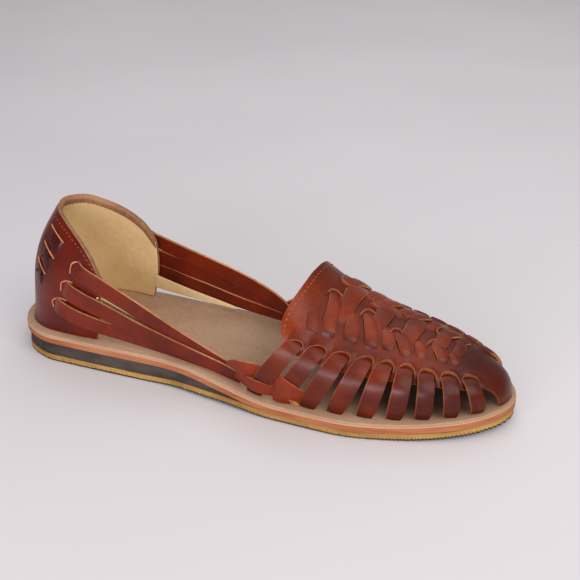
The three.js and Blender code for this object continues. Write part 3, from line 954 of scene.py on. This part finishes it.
# Pale cut lips where a leaf comes up through the plate, as x and t along each lip, and the ones that
# run on from them to the ridge.
CUT_LIPS = (
    ((173.9, 0.135), (174.6, 0.09), (177, 0.068), (180.2, 0.088)),
    ((189.6, 0.13), (190, 0.075), (192, 0.035), (195, 0.044)),
    ((204.2, 0.15), (204.8, 0.1), (206.8, 0.085), (209.2, 0.112)),
    ((220.6, 0.13), (221.6, 0.06), (224.6, 0.03)),
)
RIDGE_LIPS = (
    ((180.2, 0.088), (178.9, 0.001)),
    ((195, 0.044), (194.3, 0.001)),
    ((209.2, 0.112), (208.6, 0.001)),
)
LIP_WIDTH = 0.6
LIP_HEIGHT = 0.5
ARCH_LIP_WIDTH = 0.42
REAR_EDGE_WIDTH = 0.4


def lip_strip(bm, skin, places, width=LIP_WIDTH, steps=14):
    """A narrow pale cut edge through places of two skin shares and a rise."""
    rows = [(i, a, b, width, rise) for i, (a, b, rise) in enumerate(places)]
    laid_strip(bm, skin, rows, steps=steps, across=2, crown=0.12)


def arch_outline(k, hand):
    """The rim of a loop's slot, from one end of the arch over its top to the other."""
    offsets = (-0.41, -0.4, -0.27, -0.13, 0, 0.13, 0.27, 0.4, 0.41)
    outline = []
    for off in offsets:
        row = UPPER_ROWS + (2 if abs(off) > 0.4 else 0)
        x, t, rise = plate_place(k + off, row)
        outline.append((x, hand * t, rise + 0.15))
    return outline


def rear_edge(k, hand):
    """The raw edge along the heel side of a loop, from below its arch down to its foot."""
    rows = loop_rows(k, hand)[2:-1]
    centres = [LAST_SKIN.at(x, t, rise) for _, x, t, _, rise in rows]
    places = []
    for i, (_, x, t, wide, rise) in enumerate(rows):
        along = centres[min(i + 1, len(rows) - 1)] - centres[max(i - 1, 0)]
        across = along.cross(LAST_SKIN.normal(x, t)).normalized()
        back = -across if across.x > 0 else across
        a, b = LAST_SKIN.beside(x, t, back * (wide / 2 - 0.1))
        places.append((a, b, rise + 0.02))
    return places


def cut_lips():
    bm = bmesh.new()
    for hand in (-1, 1):
        for places in CUT_LIPS + RIDGE_LIPS:
            turned = [(x, hand * t, LIP_HEIGHT) for x, t in places]
            lip_strip(bm, LAST_SKIN, turned)
        for k in range(1, LOOP_COUNT + 1):
            lip_strip(bm, LAST_SKIN, arch_outline(k, hand), ARCH_LIP_WIDTH, 24)
            lip_strip(bm, LAST_SKIN, rear_edge(k, hand), REAR_EDGE_WIDTH, 24)
    finish_piece("Cut_lips", bm, [CUT_EDGE], (), 0.9, 0.12)


cut_lips()

# ---------------------------------------------------------------- stitching


def stitch(bm, centre, along, face, length=1.5, width=0.5, height=0.36):
    """One bead of thread, lying along a seam."""
    side = face.cross(along).normalized()
    turn = Matrix((along, side, face)).transposed().to_4x4()
    size = Matrix.Diagonal((length / 2, width / 2, height / 2, 1))
    place = Matrix.Translation(centre) @ turn @ size
    bmesh.ops.create_uvsphere(bm, u_segments=8, v_segments=5, radius=1, matrix=place)


def seam(bm, skin, path, pitch, rise, **sizes):
    """Stitches every pitch millimetres along a path of skin places."""
    points = [skin.at(a, b, rise) for a, b in path]
    travelled, due = 0.0, pitch / 2
    for (a, b), here, there in zip(path, points, points[1:]):
        step = (there - here).length
        while travelled + step >= due:
            centre = here.lerp(there, (due - travelled) / step)
            stitch(bm, centre, (there - here).normalized(), skin.normal(a, b), **sizes)
            due += pitch
        travelled += step


def line(count, place):
    """Places at even shares from 0 to 1."""
    return [place(i / count) for i in range(count + 1)]


THROAT_SEAM_IN = 1.9
THROAT_SEAM_REACH = 0.6
THROAT_PITCH = 2.7
COLLAR_SEAM_REACH = 0.985
COLLAR_SEAM_DOWN = 0.045
COLLAR_PITCH = 2.6
BINDING_SEAM_DOWN = 0.05
BINDING_PITCH = 2.2
BINDING_FACE = -2.85


def stitching():
    """The seams along the throat, the collar and the collar's binding, as one piece."""
    bm = bmesh.new()

    def throat_place(share):
        t = -THROAT_SEAM_REACH + 2 * THROAT_SEAM_REACH * share
        return THROAT("x", abs(t)) + THROAT_SEAM_IN, t

    def below_collar(down):
        start = -COLLAR_SEAM_REACH
        return line(200, lambda share: (start + 2 * COLLAR_SEAM_REACH * share, 1 - down))

    seam(bm, LAST_SKIN, line(160, throat_place), THROAT_PITCH, PLATE_RISE + 0.08)
    seam(bm, COUNTER_SKIN, below_collar(COLLAR_SEAM_DOWN), COLLAR_PITCH, 0.05)
    binding_seam = below_collar(BINDING_SEAM_DOWN)
    seam(bm, COUNTER_SKIN, binding_seam, BINDING_PITCH, BINDING_FACE, length=1.3)
    finish_piece("Stitching", bm, [THREAD], (), 0, 0, 0)


stitching()

# ---------------------------------------------------------------- heel counter, lining, collar

SHELL_WALL = 1.5
LINING_WALL = 1.0
COUNTER_COLUMNS = 96
COUNTER_GRID_ROWS = 30


def counter_sheet(name, materials, stands_for, rise, wall, high=1.0):
    """One layer of the heel counter, from the footbed up to the share high of its height."""
    bm = bmesh.new()

    def place(i, j):
        return COUNTER_SKIN.at(-1 + 2 * j / COUNTER_COLUMNS, high * i / COUNTER_GRID_ROWS, rise)

    sheet(bm, COUNTER_GRID_ROWS, COUNTER_COLUMNS, place)
    return finish_piece(name, bm, materials, stands_for, wall, 0.25)


counter_sheet("Heel_counter", [HEEL_LEATHER, RAW_EDGE], ("heel_counter",), 0, SHELL_WALL)
counter_sheet("Heel_lining", [LINING], (), -SHELL_WALL - 0.03, LINING_WALL, 0.99)


def collar_binding():
    """A tan strip folded over the collar, from just under its outer edge to the lining."""
    bm = bmesh.new()
    wall = SHELL_WALL + LINING_WALL
    turns = [
        (0.12, -0.1),
        (0.02, 0.18),
        (-0.5, 0.34),
        (-0.5 * wall, 0.4),
        (0.3 - wall, 0.3),
        (-wall - 0.15, 0),
        (-wall - 0.3, -0.6),
        (-wall - 0.3, -2),
        (-wall - 0.25, -3.6),
    ]
    columns = 110

    def place(i, j):
        u = -1 + 2 * j / columns
        out, up = turns[len(turns) - 1 - i]
        top = COUNTER_SKIN.point(u, 1)
        normal = COUNTER_SKIN.normal(u, 0.98)
        below = (COUNTER_SKIN.point(u, 0.9) - top).normalized()
        return top + normal * out - below * up

    sheet(bm, len(turns) - 1, columns, place)
    bmesh.ops.reverse_faces(bm, faces=bm.faces)
    finish_piece("Collar_binding", bm, [BINDING], (), 0.35, 0.1)


collar_binding()

# Bands woven through the back of the counter, for one side, as the u and v of a band's corners:
# upper inner, upper outer, lower inner and lower outer.
BACK_BANDS = (
    ((-0.27, 0.9), (-0.48, 0.88), (-0.34, 0.8), (-0.48, 0.75)),
    ((-0.29, 0.77), (-0.46, 0.72), (-0.33, 0.66), (-0.44, 0.58)),
    ((-0.29, 0.62), (-0.43, 0.54), (-0.31, 0.5), (-0.4, 0.41)),
)
# The arched rear ends of the side straps' slits, as u and v along each.
STRAP_ARCS = (
    ((-0.7, 0.86), (-0.66, 0.84), (-0.625, 0.78), (-0.64, 0.7)),
    ((-0.69, 0.635), (-0.65, 0.62), (-0.595, 0.56), (-0.61, 0.48)),
    ((-0.68, 0.41), (-0.62, 0.4), (-0.555, 0.33), (-0.58, 0.27)),
)
RIVET = (-0.97, 0.68)
RIVET_SIZE = (0.8, 0.8, 0.5, 1)


BAND_ENDS = 6.2
BAND_WIDTH = 7.2


def back_weave():
    """The bands woven through the back of the counter, and the raw edges of all its slits."""
    bands = bmesh.new()
    lips = bmesh.new()
    for upper_in, upper_out, lower_in, lower_out in BACK_BANDS:
        for hand in (-1, 1):
            middle_in = [(a + b) / 2 for a, b in zip(upper_in, lower_in)]
            middle_out = [(a + b) / 2 for a, b in zip(upper_out, lower_out)]
            near_in = 0.8 * middle_in[0] + 0.2 * middle_out[0]
            near_out = 0.2 * middle_in[0] + 0.8 * middle_out[0]
            rows = (
                (0, -hand * middle_in[0], middle_in[1], BAND_ENDS, -0.7),
                (0.2, -hand * near_in, middle_in[1], BAND_WIDTH, 0.35),
                (0.8, -hand * near_out, middle_out[1], BAND_WIDTH, 0.4),
                (1, -hand * middle_out[0], middle_out[1], BAND_ENDS, -0.7),
            )
            laid_strip(bands, COUNTER_SKIN, rows, steps=16)
            edge = [(-hand * u, v, 0.6) for u, v in (upper_in, upper_out)]
            lip_strip(lips, COUNTER_SKIN, edge, 0.8)
    for arc in STRAP_ARCS:
        for hand in (-1, 1):
            lip_strip(lips, COUNTER_SKIN, [(-hand * u, v, 0.25) for u, v in arc], 0.8, 18)
    finish_piece("Back_bands", bands, [BAND_LEATHER], (), 1.0, 0.2)
    finish_piece("Slit_edges", lips, [RAW_EDGE], (), 0.8, 0.12)


back_weave()


def rivets():
    bm = bmesh.new()
    for hand in (-1, 1):
        u, v = -hand * RIVET[0], RIVET[1]
        face = COUNTER_SKIN.normal(u, v)
        turn = face.to_track_quat("Z", "Y").to_matrix().to_4x4()
        spot = Matrix.Translation(COUNTER_SKIN.at(u, v, 0.1))
        size = Matrix.Diagonal(RIVET_SIZE)
        bmesh.ops.create_uvsphere(
            bm, u_segments=16, v_segments=8, radius=1, matrix=spot @ turn @ size
        )
    finish_piece("Rivets", bm, [STEEL], (), 0, 0, 1)


rivets()

# ---------------------------------------------------------------- straps and backings

STRAP_WIDTH = 9.2
STRAP_THICK = 1.5
STRAP_CLEAR = 0.45
STRAP_LEAVES = (61, 84)
STRAP_OUTWARD = 0.5
STRAP_SINK = 2.6
STRAP_SINK_OVER = 4

# Middle lines of the side straps from the slits forward, as rows of x, height, distance out and
# share of the full width.
STRAP_PATHS = {
    "lateral": (
        ((46, 53.4, 27, 1), (62, 45.8, 29, 1), (80, 38.2, 30.2, 1), (99, 29.8, 31, 0.95),
         (117, 22.4, 31.6, 0.9), (131, 17.6, 32.6, 0.85), (140.5, 15, 33.8, 0.7)),
        ((39.5, 42, 28, 1), (60, 34, 29, 1), (79, 28.2, 30, 0.95), (98, 23.6, 30.8, 0.85),
         (117, 19.2, 31.6, 0.8), (131, 16.4, 32.6, 0.75), (140.5, 14.4, 33.8, 0.6)),
        ((32.5, 31.6, 28, 1), (48, 26.6, 29, 0.95), (62, 23.6, 29.6, 0.9), (80, 21.8, 30, 0.85),
         (98, 19.8, 30.6, 0.75), (117, 17.4, 31.6, 0.65), (131, 15.6, 32.6, 0.6),
         (140.5, 14.1, 33.8, 0.5)),
    ),
    "medial": (
        ((46, 53.8, 27, 1), (62, 47, 28, 1), (86, 40.6, 28, 1), (112, 33, 28, 0.95),
         (130, 25, 28.2, 0.85), (140.5, 16, 28.8, 0.7)),
        ((39.5, 42.6, 28, 1), (61, 37.6, 28, 1), (85, 32, 28, 1), (111, 24.6, 28, 0.9),
         (130, 18.6, 28.2, 0.8), (140.5, 14.8, 28.8, 0.6)),
        ((32.5, 32, 28, 1), (61, 28.8, 28, 0.95), (85, 25, 28, 0.85), (108, 20, 28, 0.75),
         (130, 16.2, 28.2, 0.6), (140.5, 14.2, 28.8, 0.5)),
    ),
}
# The pale backing strips, as rows of x, lower edge, upper edge and distance out.
BACKING_PATHS = {
    "lateral": (
        (60, 29, 43, 25.2), (70, 27.5, 39.5, 26), (84, 24.6, 33, 26.6), (97, 22.6, 27, 27),
        (106, 21.4, 23, 27)
    ),
    "medial": (
        (59.5, 21.2, 28.6, 25.2), (70, 20, 26, 25.2), (84, 18.6, 22.8, 25.2), (98, 17.4, 20, 25.2),
        (108, 16.8, 17.8, 25.2)
    ),
}


def counter_place(x, z, side):
    """Where a place seen from the side lies on one half of the counter."""

    def height_share(u):
        foot, top = counter_point(u, 0).z, counter_point(u, 1).z
        return min(max((z - foot) / (top - foot), 0), 1)

    rear, front = 0.1, 1.0
    for _ in range(16):
        u = (rear + front) / 2
        if counter_point(u, height_share(u)).x < x:
            rear = u
        else:
            front = u
    return side * rear, height_share(rear)


# How far each strap sits inside the middle one, and its width as a share of the cut width.
STRAP_INSET = (1.5, 0, 0.9)
STRAP_SHARE = (0.9, 0.92, 0.95)


def strap_stations(rows, side, inset, share_of_width, steps=44):
    """A strap's stations: it comes out of the counter, lies on it, and leaves it for its path."""
    path = Table(("z", "out", "wide"), rows)
    start, end = rows[0][0], rows[-1][0]
    sideways = Vector((0, side, 0))
    stations = []
    for i in range(steps + 1):
        x = start + (end - start) * i / steps
        z = path("z", x)
        u, v = counter_place(x, z, side)
        face = COUNTER_SKIN.normal(u, v)
        sink = STRAP_SINK * (1 - smoothstep(0, STRAP_SINK_OVER, x - start))
        lift = (STRAP_CLEAR + STRAP_THICK) / abs(face.y) - sink
        on = Vector((x, counter_point(u, v).y + side * lift, z))
        out = path("out", x) + STRAP_THICK / 2 + STRAP_OUTWARD - inset
        free = Vector((x, side * out, z))
        share = smoothstep(*STRAP_LEAVES, x)
        face = face.lerp(sideways, share).normalized()
        wide = STRAP_WIDTH * share_of_width * path("wide", x)
        stations.append((on.lerp(free, share), face, wide))
    return stations


def straps(name, side):
    bm = bmesh.new()
    for rows, inset, share in zip(STRAP_PATHS[name], STRAP_INSET, STRAP_SHARE):
        ribbon(bm, strap_stations(rows, side, inset, share), crown=0.15)
    finish_piece(
        "Straps_" + name,
        bm,
        [STRAP_LEATHER, RAW_EDGE],
        ("straps_" + name,),
        STRAP_THICK,
        0.25,
    )


def backing(name, side):
    bm = bmesh.new()
    path = Table(("low", "high", "out"), BACKING_PATHS[name])
    stations = []
    for i in range(21):
        x = path.keys[0] + (path.keys[-1] - path.keys[0]) * i / 20
        low, high = path("low", x), path("high", x)
        centre = Vector((x, side * (path("out", x) + STRAP_OUTWARD), (low + high) / 2))
        stations.append((centre, Vector((0, side, 0)), high - low))
    ribbon(bm, stations, crown=0)
    finish_piece("Backing_" + name, bm, [LINING], ("backing_" + name,), 1.0, 0.2)


for side_name, hand in SIDES:
    straps(side_name, hand)
    backing(side_name, hand)

# Where the straps end: leaves braided over and under the first loops, just above the footbed.
# Rows are share along, x, t, width and rise.
BRAID = (
    ((0, 133, 0.905, 1.6, -2.6), (0.25, 138, 0.885, 5.6, -1), (0.5, 143, 0.872, 7.4, 0.1),
     (0.72, 147.5, 0.862, 7.8, -0.3), (0.88, 151, 0.86, 7.2, -1.5), (1, 155, 0.86, 6.5, -2.2)),
    ((0, 155.5, 0.83, 6, -2.2), (0.18, 159.5, 0.845, 7.6, -0.5), (0.4, 163, 0.86, 8.4, 1.7),
     (0.7, 168, 0.885, 8.6, 1.9), (0.88, 171, 0.905, 8, 0.8), (1, 174.5, 0.94, 7, -1.6)),
    ((0, 137, 0.965, 3, -2.6), (0.25, 142, 0.945, 5.6, -0.6), (0.6, 150, 0.932, 6.4, 1.7),
     (0.85, 156, 0.93, 6, 1.2), (1, 161, 0.94, 5, -1)),
    ((0, 157, 0.925, 5, -0.6), (0.5, 161.5, 0.955, 6, 1), (1, 166.5, 0.99, 5, -0.4)),
)
BRAID_TAB = ((0, 166.5, 0.955, 2.6, 0.2), (1, 170.5, 1, 2.2, 0.5))
BRAID_WALL = 1.4


def braid(name, side):
    leaves = bmesh.new()
    for rows in BRAID:
        turned = [(s, x, side * t, wide, rise) for s, x, t, wide, rise in rows]
        laid_strip(leaves, LAST_SKIN, turned, steps=24, crown=0.4, burnished=0.35)
    finish_piece("Braid_" + name, leaves, [BRAID_LEATHER, RAW_EDGE], (), BRAID_WALL, 0.3)
    tab = bmesh.new()
    turned = [(s, x, side * t, wide, rise) for s, x, t, wide, rise in BRAID_TAB]
    laid_strip(tab, LAST_SKIN, turned, steps=6, across=2, crown=0.1)
    finish_piece("Braid_end_" + name, tab, [RAW_EDGE], (), 1.0, 0.2)


for side_name, hand in SIDES:
    braid(side_name, hand)

# ---------------------------------------------------------------- floor, light and camera


FLOOR_REACH = 4


def studio_floor():
    bm = bmesh.new()
    bmesh.ops.create_grid(bm, x_segments=8, y_segments=8, size=FLOOR_REACH)
    mesh = bpy.data.meshes.new("Floor")
    bm.to_mesh(mesh)
    bm.free()
    floor = bpy.data.objects.new("Floor", mesh)
    bpy.context.scene.collection.objects.link(floor)
    graph = Graph("Floor_paper", Roughness=0.75, Specular_IOR_Level=0.2)
    cloud = graph.noise(3, detail=2)
    tone = graph.blend(graph.between(cloud, 0.3, 0.7), (0.8, 0.77, 0.78, 1), (0.76, 0.73, 0.74, 1))
    graph.feed(graph.shader, {"Base Color": tone})
    mesh.materials.append(graph.material)


def soft_light(name, place, aim, size, watts, tint):
    """An area light; size is its width and its height."""
    lamp = bpy.data.lights.new(name, "AREA")
    lamp.shape = "RECTANGLE"
    lamp.size, lamp.size_y = size
    lamp.energy = watts
    lamp.color = tint
    holder = bpy.data.objects.new(name, lamp)
    holder.location = place
    direction = Vector(place) - Vector(aim)
    holder.rotation_mode = "QUATERNION"
    holder.rotation_quaternion = direction.to_track_quat("Z", "Y")
    bpy.context.scene.collection.objects.link(holder)


studio_floor()
soft_light("Key_light", (0.8, -0.5, 0.9), (0, 0, 0.03), (0.9, 0.9), 7.4, (1, 0.97, 0.96))
soft_light("Side_light", (0.1, -1.1, 0.3), (0.05, 0, 0.03), (1.1, 0.2), 8.5, (0.96, 0.92, 1))
soft_light("Top_light", (0.1, 0.3, 1.1), (0, 0, 0.02), (1.1, 1.1), 3.4, (0.98, 0.98, 1))
soft_light("Back_light", (-0.7, 1.7, 1.5), (-0.8, 1.9, 0), (2, 2), 9, (1, 0.98, 1))

world = bpy.data.worlds.new("Studio")
world.use_nodes = True
fill = world.node_tree.nodes["Background"]
fill.inputs["Color"].default_value = (0.95, 0.94, 0.96, 1)
fill.inputs["Strength"].default_value = 0.3
bpy.context.scene.world = world
bpy.context.scene.view_settings.view_transform = "Standard"

CAMERA_AZIMUTH = math.radians(24.522)
CAMERA_ELEVATION = math.radians(25.367)
CAMERA_ROLL = math.radians(-1.419)
CAMERA_DISTANCE = 0.46
CAMERA_TARGET = Vector((0.01357, 0.01566, 0.03817))
CAMERA_LENS = 57.67

view = bpy.data.cameras.new("Camera")
view.lens = CAMERA_LENS
view.sensor_width = 36
view.clip_start = 0.01
camera = bpy.data.objects.new("Camera", view)
back = Vector(
    (
        math.sin(CAMERA_AZIMUTH) * math.cos(CAMERA_ELEVATION),
        -math.cos(CAMERA_AZIMUTH) * math.cos(CAMERA_ELEVATION),
        math.sin(CAMERA_ELEVATION),
    )
)
camera.location = CAMERA_TARGET + back * CAMERA_DISTANCE
camera.rotation_mode = "QUATERNION"
camera.rotation_quaternion = back.to_track_quat("Z", "Y") @ Quaternion((0, 0, 1), CAMERA_ROLL)
bpy.context.scene.collection.objects.link(camera)
bpy.context.scene.camera = camera
